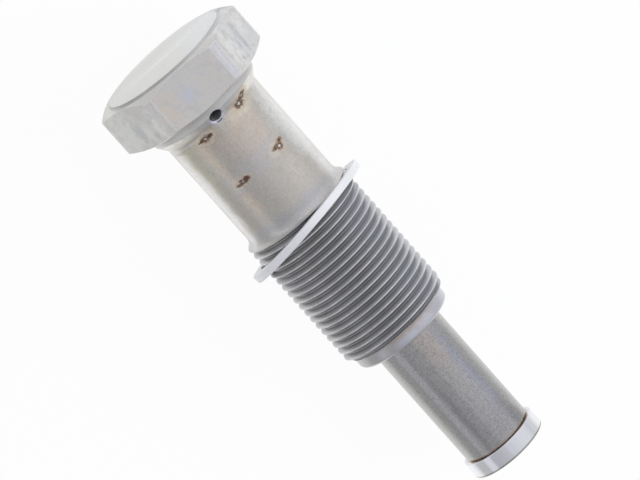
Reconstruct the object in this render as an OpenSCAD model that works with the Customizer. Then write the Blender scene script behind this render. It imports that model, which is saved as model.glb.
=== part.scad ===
// Screw-in hydraulic timing chain tensioner, lying on one flat of its hexagon head.
// The axis runs along +X, from the head to the plunger's tip, and +Z is up.
// The origin is on the axis, in the plane of the seat under the head.
// Pieces are drawn about a local Z axis, and laid along X where they are drawn.

/* [Head] */
// Width of the hexagon across its flats
head_af = 26.8; // [25.6:0.1:28]
// Diameter that the corners of the hexagon are turned to
head_corner_d = 30.2; // [28.4:0.1:31.6]
// Height of the hexagon
head_h = 8.75; // [8:0.05:14]
// Diameter where the chamfers on both ends of the hexagon start
head_chamfer_d = 26.4; // [25:0.1:28]
// Slope of the chamfer on the outer end
head_chamfer_angle = 28; // [15:1:40]
// Slope of the chamfer on the seat's end
seat_chamfer_angle = 22; // [15:1:40]
// Diameter of the raised round crown on the outer end
crown_d = 24.2; // [16:0.1:26]
// Height of the crown
crown_h = 0.35; // [0.2:0.05:1.5]

/* [Shank] */
// Diameter of the short collar that centres the sealing washer under the head
collar_d = 22; // [20.5:0.1:23]
// Length of the collar
collar_len = 1.65; // [0.8:0.05:3]
// Length of the cone from the collar down to the shank
neck_len = 1.85; // [1:0.05:5]
// Diameter of the plain shank
shank_d = 19.4; // [18.4:0.1:20.2]
// Length of the plain shank
shank_len = 20.7; // [15:0.1:40]
// Length of the hollow curve from the shank up to the thread
flare_len = 1.8; // [1.2:0.1:3]
// Height of the small step from the end of that curve up to the thread
flare_step = 0.2; // [0.1:0.05:0.4]
// Diameter of the oil inlet hole under the head
oil_hole_d = 2.3; // [1:0.1:3]
// Distance of the oil hole's mouth from the seat
oil_hole_from_seat = 2.5; // [1.5:0.05:6]
// Width of the chamfer round the oil hole
oil_hole_chamfer = 0.35; // [0.1:0.05:0.8]

/* [Thread and nose] */
// Outside diameter of the thread
thread_d = 21.75; // [20.8:0.05:24]
// Length of the thread, with its run-out
thread_len = 26.8; // [18:0.1:40]
// Angle of a thread flank to the plane across the axis
thread_flank = 30; // [20:1:45]
// Diameter of the plain nose below the thread
nose_d = 19.3; // [17.5:0.1:20.2]
// Length of the nose
nose_len = 2.2; // [1.5:0.1:8]
// Radius of the nose's rounded rim
nose_round = 0.7; // [0.2:0.05:1.2]

/* [Bore] */
// Diameter of the oil reservoir behind the check valve
reservoir_d = 10; // [5:0.1:12]
// Thickness of metal between the reservoir and the top of the hexagon
head_floor = 5.4; // [4.6:0.1:7]
// Half angle of the drill point at the end of the reservoir
drill_half_angle = 59; // [50:1:70]
// Chamfer at the mouth of the bore
mouth_chamfer = 0.4; // [0.1:0.05:0.8]

/* [Plunger] */
// Outside diameter of the plunger
plunger_d = 13.4; // [12:0.1:14]
// Thickness of the plunger's wall
plunger_wall = 1.4; // [1.2:0.05:1.7]
// Length of plunger outside the nose when fully out
plunger_out = 24.95; // [20:0.05:40]
// Length of plunger inside the housing when fully out
plunger_in = 21.2; // [10:0.1:24]
// Travel of the plunger
plunger_stroke = 18; // [6:0.5:18]
// Chamfer at both ends of the plunger
plunger_chamfer = 0.15; // [0.1:0.05:0.6]

/* [Thrust cap] */
// Diameter of the cap that bears on the chain guide
cap_d = 14.9; // [13.6:0.1:17]
// Thickness of the cap
cap_h = 3.15; // [1.8:0.05:6]
// Width of the groove between plunger and cap
cap_groove = 0.25; // [0.15:0.05:1]
// Depth of that groove below the plunger's surface
cap_groove_depth = 0.6; // [0.2:0.05:1]
// Length of the cap's spigot inside the plunger
spigot_len = 8; // [3:0.5:12]
// Chamfer on the rims of the cap
cap_chamfer = 0.1; // [0.1:0.05:0.6]

/* [Retaining ring] */
// Wire diameter of the ring that keeps the plunger in
ring_wire_d = 1; // [0.7:0.05:1.1]
// How far the ring stands out of the plunger
ring_proud = 0.55; // [0.3:0.05:0.6]
// Distance of the ring from the plunger's inner end
ring_from_end = 2; // [1.5:0.1:4]
// Angle of the gap in the ring
ring_gap_angle = 40; // [10:1:90]

/* [Plunger spring] */
// Wire diameter of the plunger spring
spring_wire_d = 1.3; // [0.8:0.05:1.5]
// Turns of the plunger spring
spring_turns = 20; // [8:1:24]

/* [Check valve] */
// Thickness of the valve seat
seat_h = 3; // [2:0.1:5]
// Diameter of the valve ball
ball_d = 4.5; // [3:0.1:5]
// Width of the seat cone on each side of the ball's line of contact
seat_land = 0.5; // [0.2:0.05:0.8]
// Sheet thickness of the cage
cage_wall = 0.5; // [0.3:0.05:0.6]
// Windows in the cage
cage_windows = 3; // [2:1:4]
// Width of a window in the cage
cage_window_w = 2; // [1:0.1:2.4]
// Diameter of the oil hole in the cage's end
cage_hole_d = 1.6; // [0.8:0.1:2]
// Wire diameter of the valve spring
valve_wire_d = 0.3; // [0.2:0.05:0.4]
// Mean diameter of the valve spring
valve_spring_d = 2.8; // [2.2:0.1:3]
// Length of the valve spring
valve_spring_len = 2.4; // [2.2:0.1:5]
// Turns of the valve spring
valve_spring_turns = 4; // [3:1:5]

/* [Sealing washer] */
// Radial width of the washer
washer_w = 2.1; // [1.5:0.025:4]
// Thickness of the washer
washer_t = 1.4; // [1:0.1:2]
// Play of the washer's hole on the thread, on the diameter
washer_play = 0.85; // [0.6:0.05:1.4]
// Chamfer on the washer's edges
washer_chamfer = 0.12; // [0.05:0.01:0.3]
// Distance of the loose washer from the start of the thread
washer_from_thread = 2.95; // [2:0.05:15]
// Direction towards which the washer leans to the head, turned from straight up towards +Y
washer_lean_dir = 40; // [0:1:360]

/* [Fits] */
// Running clearance of the plunger in its guide, on the radius
guide_clear = 0.05; // [0.02:0.01:0.09]
// Clearance of the retaining ring in the housing and in its groove
ring_clear = 0.1; // [0.05:0.01:0.2]
// Clearance of the retaining ring to its stop when the plunger is fully out
stop_clear = 0.05; // [0.02:0.01:0.1]
// Room left between plunger and valve cage when the plunger is fully in
end_clear = 1; // [0.5:0.1:3]
// Clearance of the plunger spring in the plunger and over the cage, on the radius
spring_clear = 0.25; // [0.1:0.05:0.4]
// Clearance of the cage's flange in the bore, on the radius
flange_clear = 0.4; // [0.1:0.05:0.8]
// Clearance between a spring's end, or the ball, and its seat
seat_clear = 0.04; // [0.02:0.01:0.1]
// Clearance left on each side where the leaning washer binds on the thread
bind_clear = 0.03; // [0.02:0.01:0.1]

/* [Hidden] */
$fn = 96;

// Radii
corner_r = head_corner_d / 2;
head_chamfer_r = head_chamfer_d / 2;
crown_r = crown_d / 2;
collar_r = collar_d / 2;
shank_r = shank_d / 2;
thread_r = thread_d / 2;
nose_r = nose_d / 2;
plunger_r = plunger_d / 2;
plunger_bore_r = plunger_r - plunger_wall;
cap_r = cap_d / 2;
reservoir_r = reservoir_d / 2;
ball_r = ball_d / 2;

// Places along the axis, counted from the seat, on the housing's outside
neck_end = collar_len + neck_len;
flare_start = neck_end + shank_len;
thread_start = flare_start + flare_len;
nose_start = thread_start + thread_len;
mouth = nose_start + nose_len;
head_chamfer_h = (corner_r - head_chamfer_r) * tan(head_chamfer_angle);
seat_chamfer_h = (corner_r - head_chamfer_r) * tan(seat_chamfer_angle);
thread_end_h = (thread_r - nose_r) * tan(thread_flank);

// The flare is an arc that leaves the shank smoothly and ends at a small step up to the thread
flare_rise = thread_r - flare_step - shank_r;
flare_turn = 2 * atan(flare_rise / flare_len);
flare_r = flare_len / sin(flare_turn);

// Places along the axis of the plunger and its cap, fully out
plunger_inner_end = mouth - plunger_in;
plunger_outer_end = mouth + plunger_out;
cap_start = plunger_outer_end + cap_groove;
tip = cap_start + cap_h;
spigot_end = plunger_outer_end - spigot_len;

// The retaining ring, its groove and its stop in the bore
ring_at = plunger_inner_end + ring_from_end;
ring_mean_r = plunger_r + ring_proud - ring_wire_d / 2;
ring_groove_r = ring_mean_r - ring_wire_d / 2 - ring_clear;
ring_groove_w = ring_wire_d + 2 * ring_clear;
guide_r = plunger_r + guide_clear;
guide_start = ring_at + ring_wire_d / 2 + stop_clear;
relief_r = plunger_r + ring_proud + ring_clear;

// The check valve stands on the step at the inner end of the bore
cage_flange_top = plunger_inner_end - plunger_stroke - end_clear;
valve_face = cage_flange_top - cage_wall;
valve_floor = valve_face - seat_h;
contact_r = ball_r * sin(45);
seat_mouth_r = contact_r + seat_land;
port_r = contact_r - seat_land;
ball_at = valve_face - seat_mouth_r + ball_r / sin(45) + seat_clear;
valve_spring_r = valve_spring_d / 2;
ball_to_coil = ball_r + valve_wire_d / 2 + seat_clear;
valve_spring_start = ball_at + sqrt(pow(ball_to_coil, 2) - pow(valve_spring_r, 2)) - valve_wire_d / 2;
cage_inner_top = valve_spring_start + valve_spring_len + seat_clear;
cage_top = cage_inner_top + cage_wall;
reservoir_top = head_floor - head_h;
reservoir_point = reservoir_top - reservoir_r / tan(drill_half_angle);

// The plunger spring stands between the cage's flange and the cap's spigot
spring_mean_r = plunger_bore_r - spring_clear - spring_wire_d / 2;
spring_start = cage_flange_top + seat_clear;
spring_len = spigot_end - seat_clear - spring_start;
cage_outer_r = spring_mean_r - spring_wire_d / 2 - spring_clear;
cage_inner_r = cage_outer_r - cage_wall;

// The washer leans until its hole binds on two opposite sides of the thread
washer_hole_d = thread_d + washer_play;
washer_hole_r = washer_hole_d / 2;
washer_r = washer_hole_r + washer_w;
washer_diagonal = sqrt(pow(washer_hole_d, 2) + pow(washer_t, 2));
washer_lean = acos((thread_d + 2 * bind_clear) / washer_diagonal) - atan(washer_t / washer_hole_d);
washer_at = thread_start + washer_from_thread;

// Facets of the coiled wires
wire_sides = 6;
coil_steps = 18;
dead_turns = 1;
dead_pitch_ratio = 1.05;

// Overlap of a cut past the face it cuts
cut = 1;

// The cone that chamfers the oil hole reaches this many widths up, past the neck
chamfer_reach = 3;

// Lays a piece that is drawn about the local Z axis along the tensioner's axis
module along_axis() {
    rotate([0, 90, 0])
        children();
}

// Points on an arc about a centre, from one angle to another
function arc(centre, radius, from, to, steps = 6) =
    [for (i = [0:steps])
        let (a = from + (to - from) * i / steps)
        centre + radius * [cos(a), sin(a)]];

// Rise of a coil's centre line after a number of turns, with closed turns at both ends
function coil_rise(turn, turns, len, wire) =
    let (
        tight = wire * dead_pitch_ratio,
        open = (len - wire - 2 * dead_turns * tight) / (turns - 2 * dead_turns),
        open_turns = min(max(turn - dead_turns, 0), turns - 2 * dead_turns),
        tight_turns = turn - open_turns
    )
    tight_turns * tight + open_turns * open;

// A compression spring that stands on Z = 0
module coil_spring(mean_r, wire, len, turns) {
    rings = turns * coil_steps;
    wire_r = wire / 2;
    points = [
        for (i = [0:rings], j = [0:wire_sides - 1])
            let (
                turn = i / coil_steps,
                around = 360 * turn,
                across = 360 * j / wire_sides,
                r = mean_r + wire_r * cos(across)
            )
            [r * cos(around), r * sin(around),
             wire_r + coil_rise(turn, turns, len, wire) + wire_r * sin(across)]
    ];
    sides = [
        for (i = [0:rings - 1], j = [0:wire_sides - 1])
            let (
                a = i * wire_sides + j,
                b = i * wire_sides + (j + 1) % wire_sides,
                c = a + wire_sides,
                d = b + wire_sides
            )
            each [[a, b, d], [a, d, c]]
    ];
    first_cap = [for (j = [wire_sides - 1:-1:0]) j];
    last_cap = [for (j = [0:wire_sides - 1]) rings * wire_sides + j];
    polyhedron(points, concat(sides, [first_cap, last_cap]));
}

// Hexagon with turned corners and chamfered ends, below the seat plane
module hexagon_head() {
    intersection() {
        translate([0, 0, -head_h])
            rotate([0, 0, 30])
                cylinder(d = head_af / cos(30), h = head_h, $fn = 6);
        rotate_extrude()
            polygon([
                [0, -head_h],
                [head_chamfer_r, -head_h],
                [corner_r, -head_h + head_chamfer_h],
                [corner_r, -seat_chamfer_h],
                [head_chamfer_r, 0],
                [0, 0]
            ]);
    }
    translate([0, 0, -head_h - crown_h])
        cylinder(r = crown_r, h = crown_h + cut);
}

// Collar, neck, shank, flare, thread blank and nose, turned in one
module turned_body() {
    rotate_extrude()
        polygon(concat(
            [
                [0, -head_h / 2],
                [collar_r, -head_h / 2],
                [collar_r, collar_len],
                [shank_r, neck_end]
            ],
            arc([shank_r + flare_r, flare_start], flare_r, 180, 180 - flare_turn),
            [
                [thread_r, thread_start + flare_step],
                [thread_r, nose_start - thread_end_h],
                [nose_r, nose_start]
            ],
            arc([nose_r - nose_round, mouth - nose_round], nose_round, 0, 90),
            [[0, mouth]]
        ));
}

// Reservoir, valve step, relief for the retaining ring and plunger guide, as one cut
module stepped_bore() {
    rotate_extrude()
        polygon([
            [0, reservoir_point],
            [reservoir_r, reservoir_top],
            [reservoir_r, valve_floor],
            [relief_r, valve_floor],
            [relief_r, guide_start],
            [guide_r, guide_start],
            [guide_r, mouth - mouth_chamfer],
            [guide_r + mouth_chamfer, mouth],
            [guide_r + mouth_chamfer, mouth + cut],
            [0, mouth + cut]
        ]);
}

// Oil hole on the upper side, drilled square to the neck's cone and chamfered at its mouth
module oil_hole() {
    neck_slope = (collar_r - shank_r) / neck_len;
    neck_angle = atan(neck_slope);
    chamfer_h = chamfer_reach * oil_hole_chamfer;
    mouth_r = collar_r - max(oil_hole_from_seat - collar_len, 0) * neck_slope;
    depth = (mouth_r - reservoir_r / 2) / cos(neck_angle);
    translate([-mouth_r, 0, oil_hole_from_seat])
        rotate([0, neck_angle - 90, 0]) {
            translate([0, 0, -depth])
                cylinder(d = oil_hole_d, h = depth + cut);
            translate([0, 0, -oil_hole_chamfer])
                cylinder(d1 = oil_hole_d, d2 = oil_hole_d + 2 * chamfer_h, h = chamfer_h);
        }
}

module housing() {
    color([0.72, 0.70, 0.67])
        along_axis()
            difference() {
                union() {
                    hexagon_head();
                    turned_body();
                }
                stepped_bore();
                oil_hole();
            }
}

module sealing_washer() {
    c = washer_chamfer;
    half_t = washer_t / 2;
    color([0.86, 0.87, 0.92])
        along_axis()
            translate([0, 0, washer_at])
                rotate([0, 0, -washer_lean_dir])
                    rotate([0, -washer_lean, 0])
                        rotate_extrude()
                            polygon([
                                [washer_hole_r, -half_t],
                                [washer_r - c, -half_t],
                                [washer_r, -half_t + c],
                                [washer_r, half_t - c],
                                [washer_r - c, half_t],
                                [washer_hole_r, half_t]
                            ]);
}

module plunger() {
    c = plunger_chamfer;
    half_groove = ring_groove_w / 2;
    color([0.53, 0.52, 0.52])
        along_axis()
            rotate_extrude()
                polygon([
                    [plunger_bore_r, plunger_inner_end],
                    [plunger_r - c, plunger_inner_end],
                    [plunger_r, plunger_inner_end + c],
                    [plunger_r, ring_at - half_groove],
                    [ring_groove_r, ring_at - half_groove],
                    [ring_groove_r, ring_at + half_groove],
                    [plunger_r, ring_at + half_groove],
                    [plunger_r, plunger_outer_end - c],
                    [plunger_r - c, plunger_outer_end],
                    [plunger_bore_r, plunger_outer_end]
                ]);
}

module thrust_cap() {
    c = cap_chamfer;
    groove_r = plunger_r - cap_groove_depth;
    color([0.78, 0.79, 0.83])
        along_axis()
            rotate_extrude()
                polygon([
                    [0, spigot_end],
                    [plunger_bore_r - c, spigot_end],
                    [plunger_bore_r, spigot_end + c],
                    [plunger_bore_r, plunger_outer_end],
                    [groove_r, plunger_outer_end],
                    [groove_r, cap_start],
                    [cap_r - c, cap_start],
                    [cap_r, cap_start + c],
                    [cap_r, tip - c],
                    [cap_r - c, tip],
                    [0, tip]
                ]);
}

module retaining_ring() {
    color([0.45, 0.45, 0.47])
        along_axis()
            translate([0, 0, ring_at])
                rotate_extrude(angle = 360 - ring_gap_angle)
                    translate([ring_mean_r, 0])
                        circle(d = ring_wire_d);
}

module plunger_spring() {
    color([0.42, 0.42, 0.44])
        along_axis()
            translate([0, 0, spring_start])
                coil_spring(spring_mean_r, spring_wire_d, spring_len, spring_turns);
}

module valve_seat() {
    color([0.60, 0.60, 0.62])
        along_axis()
            rotate_extrude()
                polygon([
                    [port_r, valve_floor],
                    [relief_r, valve_floor],
                    [relief_r, valve_face],
                    [seat_mouth_r, valve_face],
                    [port_r, valve_face - 2 * seat_land]
                ]);
}

module valve_ball() {
    color([0.85, 0.86, 0.88])
        along_axis()
            translate([0, 0, ball_at])
                sphere(r = ball_r);
}

module valve_spring() {
    color([0.50, 0.50, 0.52])
        along_axis()
            translate([0, 0, valve_spring_start])
                coil_spring(valve_spring_r, valve_wire_d, valve_spring_len, valve_spring_turns);
}

// Pressed sheet cup with a flange that the plunger spring holds down, open at its windows
module valve_cage() {
    window_start = cage_flange_top + cage_wall;
    window_end = cage_inner_top - cage_wall;
    color([0.66, 0.62, 0.52])
        along_axis()
            difference() {
                rotate_extrude()
                    polygon([
                        [cage_inner_r, valve_face],
                        [relief_r - flange_clear, valve_face],
                        [relief_r - flange_clear, cage_flange_top],
                        [cage_outer_r, cage_flange_top],
                        [cage_outer_r, cage_top],
                        [cage_hole_d / 2, cage_top],
                        [cage_hole_d / 2, cage_inner_top],
                        [cage_inner_r, cage_inner_top]
                    ]);
                for (i = [0:cage_windows - 1])
                    rotate([0, 0, i * 360 / cage_windows])
                        translate([0, -cage_window_w / 2, window_start])
                            cube([cage_outer_r + cut, cage_window_w, window_end - window_start]);
            }
}

housing();
sealing_washer();
plunger();
thrust_cap();
retaining_ring();
plunger_spring();
valve_seat();
valve_ball();
valve_spring();
valve_cage();
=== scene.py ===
# %% [markdown]
# # Dressing a screw-in chain tensioner
# The tensioner screws into the side of an engine, and its plunger pushes on the rail that keeps the
# timing chain taut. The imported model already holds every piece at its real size. This lesson gives it
# what the photograph shows beyond that: a real thread, broken edges, and the finish of each metal.
# Lengths are written in millimetres and become metres where a mesh is made.

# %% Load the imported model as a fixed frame
import math

import bmesh
import bpy
import numpy as np
from mathutils import Matrix, Vector


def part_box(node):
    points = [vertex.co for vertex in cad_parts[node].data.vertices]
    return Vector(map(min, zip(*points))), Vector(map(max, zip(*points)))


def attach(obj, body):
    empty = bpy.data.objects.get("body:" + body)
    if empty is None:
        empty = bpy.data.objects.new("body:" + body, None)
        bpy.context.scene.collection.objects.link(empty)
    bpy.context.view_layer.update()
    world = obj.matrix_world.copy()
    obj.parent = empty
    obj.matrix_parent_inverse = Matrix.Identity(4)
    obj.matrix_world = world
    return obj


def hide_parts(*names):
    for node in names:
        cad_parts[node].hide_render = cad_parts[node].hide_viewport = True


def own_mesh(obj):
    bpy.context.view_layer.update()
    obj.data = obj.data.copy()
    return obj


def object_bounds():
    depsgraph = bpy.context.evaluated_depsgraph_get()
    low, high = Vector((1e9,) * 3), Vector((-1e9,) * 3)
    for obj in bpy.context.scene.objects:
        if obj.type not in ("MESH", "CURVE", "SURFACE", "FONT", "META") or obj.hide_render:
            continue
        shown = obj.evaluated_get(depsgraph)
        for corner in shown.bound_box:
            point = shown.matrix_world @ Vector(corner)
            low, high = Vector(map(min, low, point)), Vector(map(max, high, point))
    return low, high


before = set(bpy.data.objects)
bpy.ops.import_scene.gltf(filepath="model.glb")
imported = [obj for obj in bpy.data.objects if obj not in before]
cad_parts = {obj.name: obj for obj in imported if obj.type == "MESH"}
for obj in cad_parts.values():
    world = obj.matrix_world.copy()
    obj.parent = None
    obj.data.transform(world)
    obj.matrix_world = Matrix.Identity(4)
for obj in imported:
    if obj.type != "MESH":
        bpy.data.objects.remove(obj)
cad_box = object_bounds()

MM = 0.001

# %% [markdown]
# ## The camera
# The picture was taken from almost straight above with a long lens, so the outlines hardly converge. A
# camera is a place and three directions. We could turn it by hand until it fits, but the photograph gives
# the directions: how far the view leans towards the head, how far the tensioner is rolled on its axis,
# and the slope of that axis in the picture. From these we write the camera's matrix directly.

# %% Aim the camera
PHOTO_WIDTH = 640
PHOTO_HEIGHT = 480
SENSOR_WIDTH = 36
FOCAL_PIXELS = 6000
PIXELS_PER_MM = 5.80
AXIS_POINT = 33.0
AXIS_POINT_PIXEL = (321.9, 238.4)
LEAN_TO_HEAD = math.radians(13.2)
ROLL_ON_AXIS = math.radians(2.0)
AXIS_SLOPE = math.radians(48.4)

lean_sin, lean_cos = math.sin(LEAN_TO_HEAD), math.cos(LEAN_TO_HEAD)
roll_sin, roll_cos = math.sin(ROLL_ON_AXIS), math.cos(ROLL_ON_AXIS)
to_camera = Vector((-lean_sin, -lean_cos * roll_sin, lean_cos * roll_cos))
along_axis = Vector((lean_cos, -lean_sin * roll_sin, lean_sin * roll_cos))
across_axis = Vector((0, roll_cos, roll_sin))
picture_right = math.cos(AXIS_SLOPE) * along_axis + math.sin(AXIS_SLOPE) * across_axis
picture_up = math.cos(AXIS_SLOPE) * across_axis - math.sin(AXIS_SLOPE) * along_axis

right_of_middle = (AXIS_POINT_PIXEL[0] - PHOTO_WIDTH / 2) / PIXELS_PER_MM
above_middle = (PHOTO_HEIGHT / 2 - AXIS_POINT_PIXEL[1]) / PIXELS_PER_MM
distance = FOCAL_PIXELS / PIXELS_PER_MM
place = Vector((AXIS_POINT, 0, 0)) + distance * to_camera
place -= right_of_middle * picture_right + above_middle * picture_up

camera_data = bpy.data.cameras.new("camera")
camera_data.sensor_width = SENSOR_WIDTH
camera_data.lens = FOCAL_PIXELS / PHOTO_WIDTH * SENSOR_WIDTH
camera = bpy.data.objects.new("camera", camera_data)
bpy.context.scene.collection.objects.link(camera)
turn = Matrix((picture_right, picture_up, to_camera)).transposed()
camera.matrix_world = Matrix.Translation(place * MM) @ turn.to_4x4()
bpy.context.scene.camera = camera
print(f"camera: {camera_data.lens:.0f} mm lens, {distance:.0f} mm away")

# %% [markdown]
# ## Sums on sockets
# Both materials and Geometry Nodes are trees of nodes, and their sums are Math nodes. Adding those one by
# one hides the idea behind them. This class wraps one socket, so that Python's own operators add the Math
# nodes, and one method adds any other node: first its settings, then what goes into its sockets.

# %% A socket that Python can calculate with
class Wire:
    """One output socket of a node tree. Operators on it add Math nodes to the tree."""

    def __init__(self, tree, socket=None):
        self.tree = tree
        self.socket = socket

    def node(self, kind, settings=None, sockets=None, out=0):
        made = self.tree.nodes.new(kind)
        for name, value in (settings or {}).items():
            setattr(made, name, value)
        for name, value in (sockets or {}).items():
            if isinstance(value, Wire):
                self.tree.links.new(value.socket, made.inputs[name])
            else:
                made.inputs[name].default_value = value
        return Wire(self.tree, made.outputs[out])

    def also(self, name):
        """Another output of the same node."""
        return Wire(self.tree, self.socket.node.outputs[name])

    def math(self, operation, *values):
        return self.node("ShaderNodeMath", {"operation": operation}, dict(enumerate(values)))

    def clamped(self):
        return self.node("ShaderNodeClamp", sockets={"Value": self})

    def ramp(self, low, high):
        """Rises smoothly from 0 to 1 between two values, or falls if low is the larger one."""
        ends = {"Value": self, "From Min": low, "From Max": high}
        return self.node("ShaderNodeMapRange", {"interpolation_type": "SMOOTHSTEP"}, ends)

    def times(self, colour):
        """That colour at the brightness of this value."""
        ends = {0: self, 6: (0, 0, 0, 1), 7: (*colour, 1)}
        return self.node("ShaderNodeMix", {"data_type": "RGBA"}, ends, out=2)


def add_operator(name, operation):
    """Gives Wire one of Python's operators, for a wire on its left and for one on its right."""
    setattr(Wire, f"__{name}__", lambda left, right: left.math(operation, left, right))
    setattr(Wire, f"__r{name}__", lambda right, left: right.math(operation, left, right))


OPERATORS = {"add": "ADD", "sub": "SUBTRACT", "mul": "MULTIPLY", "truediv": "DIVIDE", "pow": "POWER"}
for name, operation in OPERATORS.items():
    add_operator(name, operation)
print("sums:", ", ".join(OPERATORS))

# %% [markdown]
# ## Finishes
# Every finish here is metal, so each starts from the same Principled shader, with Metallic at 1 for clean
# steel, lower where a film or a dull skin covers it, and a thin coat where there is oil. What tells them
# apart is colour, roughness and the marks of the tool that made them. Turning leaves marks round the axis
# and grinding leaves fine lines, so the patterns need a place along the axis, an angle and a radius. All
# three come from Object coordinates, which stay on the piece when it moves.

# %% Start a metal finish
class Metal:
    """A metal material, its colour so far and the places its patterns use, in mm and radians."""

    def __init__(self, name, metallic=1.0, oil=0.0):
        self.material = bpy.data.materials.new(name)
        self.material.use_nodes = True
        self.tree = self.material.node_tree
        self.colour = None
        self.shader = self.tree.nodes["Principled BSDF"]
        self.shader.inputs["Metallic"].default_value = metallic
        self.shader.inputs["Coat Weight"].default_value = oil
        self.shader.inputs["Coat Roughness"].default_value = 0.15
        start = Wire(self.tree)
        spot = start.node("ShaderNodeTexCoord", out="Object")
        scale = {"operation": "SCALE"}
        self.spot = spot.node("ShaderNodeVectorMath", scale, {0: spot, "Scale": 1 / MM})
        self.x = spot.node("ShaderNodeSeparateXYZ", sockets={0: self.spot})
        self.y = self.x.also("Y")
        self.z = self.x.also("Z")
        self.radius = (self.y * self.y + self.z * self.z) ** 0.5
        self.angle = self.x.math("ARCTAN2", self.y, self.z)

    def noise(self, size, stretch=(1, 1, 1), detail=3, rough=0.55):
        """Noise from 0 to 1 with features of about that size, longer along an axis by its stretch."""
        per_mm = [1 / (size * s) for s in stretch]
        mapped = self.x.node("ShaderNodeMapping", sockets={"Vector": self.spot, "Scale": per_mm})
        sockets = {"Vector": mapped, "Scale": 1.0, "Detail": detail, "Roughness": rough}
        return mapped.node("ShaderNodeTexNoise", sockets=sockets)

    def mix(self, share, first, second):
        """Colours blended by a share from 0 to 1."""
        settings = {"data_type": "RGBA"}
        first = first if isinstance(first, Wire) else (*first, 1)
        second = second if isinstance(second, Wire) else (*second, 1)
        return self.x.node("ShaderNodeMix", settings, {0: share, 6: first, 7: second}, out=2)

    def paint(self, share, tint):
        """Lays a tint over the colour so far, by a share from 0 to 1."""
        self.colour = self.mix(share, self.colour, tint)

    def patches(self, rows, ragged, outer, inner):
        """Paints patches that fade in between two distances, their borders moved by noise."""
        for middle, half, tint, strength in rows:
            share = (self.far_from(middle, half) + ragged).ramp(outer, inner)
            self.paint(share * strength, tint)

    def far_from(self, middle, half):
        """Distance from a place on the piece, 1 on an ellipsoid of those half sizes."""
        u = (self.x - middle[0]) / half[0]
        v = (self.y - middle[1]) / half[1]
        w = (self.z - middle[2]) / half[2]
        return (u * u + v * v + w * w) ** 0.5

    def rings(self, size):
        """Noise from 0 to 1 that changes only with the radius, as a turning tool leaves it."""
        sockets = {"W": self.radius / size, "Scale": 1.0, "Detail": 2.0}
        return self.x.node("ShaderNodeTexNoise", {"noise_dimensions": "1D"}, sockets)

    def feed(self, roughness, relief, height):
        """Links the colour, a roughness and a relief of that height in mm to the shader."""
        self.tree.links.new(self.colour.socket, self.shader.inputs["Base Color"])
        self.tree.links.new(roughness.socket, self.shader.inputs["Roughness"])
        sockets = {"Height": relief, "Distance": height * MM, "Strength": 1.0}
        bump = relief.node("ShaderNodeBump", sockets=sockets)
        self.tree.links.new(bump.socket, self.shader.inputs["Normal"])
        print("finish:", self.material.name, len(self.tree.nodes), "nodes")
        return self.material


print("metal finishes: ready")

# %% [markdown]
# ## Steel of the head
# The hexagon is milled from bar and has been through an oven, so its pale grey carries faint straw and
# blue clouds. The turned corners keep fine scratches, the crown has turning rings, and grubby fingers
# left blue-grey smudges. Clouds are broad noise between two tints, scratches are noise that is stretched
# until it becomes lines, and a smudge is an ellipsoid round a place on the piece with a ragged edge.

# %% Finish of the head
housing_low, housing_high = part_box("housing")
CROWN_X = housing_low.x / MM
CORNER_FROM = 14.85
# middle and half sizes of a patch in mm, colour, strength
HEAD_PATCHES = [
    ((-4.0, -1.0, 13.4), (1.7, 1.8, 3.0), (0.75, 0.77, 0.87), 0.7),
    ((-4.5, -5.5, 13.4), (3.5, 2.4, 3.0), (0.87, 0.79, 0.70), 0.9),
    ((-4.0, 5.0, 13.4), (3.0, 2.0, 3.0), (0.85, 0.797, 0.745), 0.7),
    ((-4.4, -13.0, 4.0), (6.0, 3.0, 7.0), (0.885, 0.895, 0.86), 0.8),
    ((-2.6, -10.4, 9.4), (2.4, 1.1, 1.7), (0.93, 0.935, 0.915), 0.7),
    ((-3.8, -8.7, 12.0), (3.8, 1.2, 1.6), (0.97, 0.97, 0.96), 0.9),
    ((-4.4, 12.0, 7.0), (7.0, 4.0, 6.0), (0.90, 0.91, 0.935), 0.8),
    ((-4.4, 9.6, 10.2), (6.0, 1.7, 2.4), (0.99, 0.99, 0.985), 0.8),
    ((-7.0, 12.6, 5.0), (1.5, 1.2, 2.0), (0.86, 0.845, 0.80), 0.6),
    ((-5.8, 13.7, 3.0), (2.2, 1.4, 2.4), (0.97, 0.975, 0.985), 0.7),
    ((-1.6, 14.2, 2.2), (1.8, 1.3, 2.2), (0.82, 0.83, 0.865), 0.7),
]
SMUDGE = (0.52, 0.545, 0.61)
# middle and half sizes of a smudge in mm, colour, strength
SMUDGES = [
    ((-8.45, 12.8, -1.1), (1.2, 1.5, 1.6), SMUDGE, 0.9),
    ((-3.9, 12.0, 6.0), (1.7, 1.0, 1.3), SMUDGE, 0.35),
    ((-6.3, 12.2, 5.6), (1.6, 0.7, 0.8), SMUDGE, 0.35),
    ((-1.8, 12.1, 5.8), (1.3, 0.7, 0.8), SMUDGE, 0.35),
    ((-3.4, 11.2, 7.4), (0.9, 0.5, 0.6), SMUDGE, 0.5),
    ((-1.7, 10.2, 9.1), (0.5, 0.4, 0.5), SMUDGE, 0.6),
    ((-3.6, -11.4, 6.8), (2.4, 1.0, 1.4), SMUDGE, 0.4),
    ((-1.8, -9.6, 10.0), (0.8, 0.8, 0.9), SMUDGE, 0.4),
]


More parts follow.
